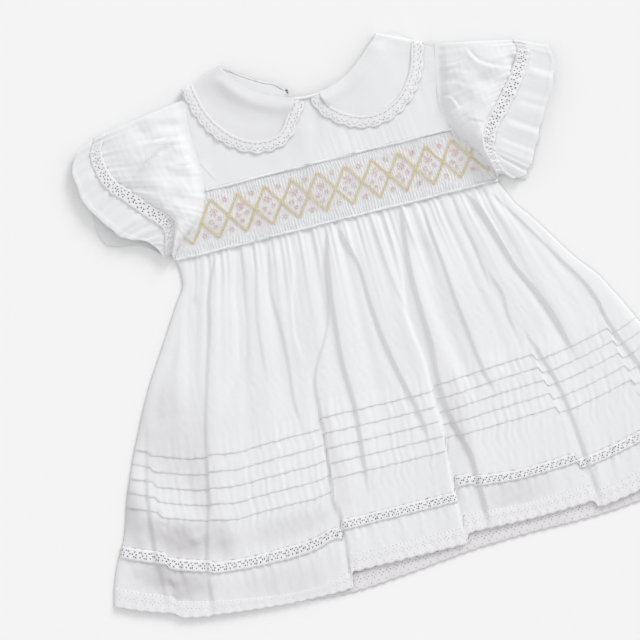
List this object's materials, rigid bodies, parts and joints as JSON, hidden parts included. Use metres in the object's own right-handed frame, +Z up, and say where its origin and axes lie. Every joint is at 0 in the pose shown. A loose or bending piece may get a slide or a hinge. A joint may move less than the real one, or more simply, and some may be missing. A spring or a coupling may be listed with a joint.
{
  "type": "toddler dress",
  "caption": "Toddler's smocked cotton dress with a round collar, puff sleeves, pin tucks and lace at the hem, laid flat with its front up.",
  "frame": {"origin": "centre of the bounding box at floor level, under the dress as it lies flat", "axes": "+Z up from the floor, out of the front of the dress; +Y from the hem to the neck; +X to the right of someone looking at its front"},
  "size_m": [0.544, 0.4573, 0.0164],
  "materials": {
    "white_lawn": "matte woven cotton",
    "smocked_lawn": "matte pleated cotton with embroidery",
    "cotton_lace": "matte cotton lace",
    "corded_piping": "matte covered cord",
    "pearl_button": "soft gloss"
  },
  "bodies": {
    "root": {"front_yoke": "white_lawn", "back_bodice_left": "white_lawn", "back_bodice_right": "white_lawn", "collar_left": "white_lawn", "collar_right": "white_lawn", "front_binding": "white_lawn", "front_skirt": "white_lawn", "back_skirt": "white_lawn", "front_hem_band": "white_lawn", "back_hem_band": "white_lawn", "sleeve_left": "white_lawn", "sleeve_right": "white_lawn", "sleeve_frill_left": "white_lawn", "sleeve_frill_right": "white_lawn", "smocked_insert": "smocked_lawn", "collar_lace_left": "cotton_lace", "collar_lace_right": "cotton_lace", "front_insertion": "cotton_lace", "back_insertion": "cotton_lace", "front_hem_lace": "cotton_lace", "back_hem_lace": "cotton_lace", "sleeve_insertion_left": "cotton_lace", "sleeve_insertion_right": "cotton_lace", "piping_upper": "corded_piping", "piping_waist": "corded_piping", "back_binding_left": "corded_piping", "back_binding_right": "corded_piping", "button_1": "pearl_button", "button_2": "pearl_button", "button_3": "pearl_button"}
  },
  "joints": []
}
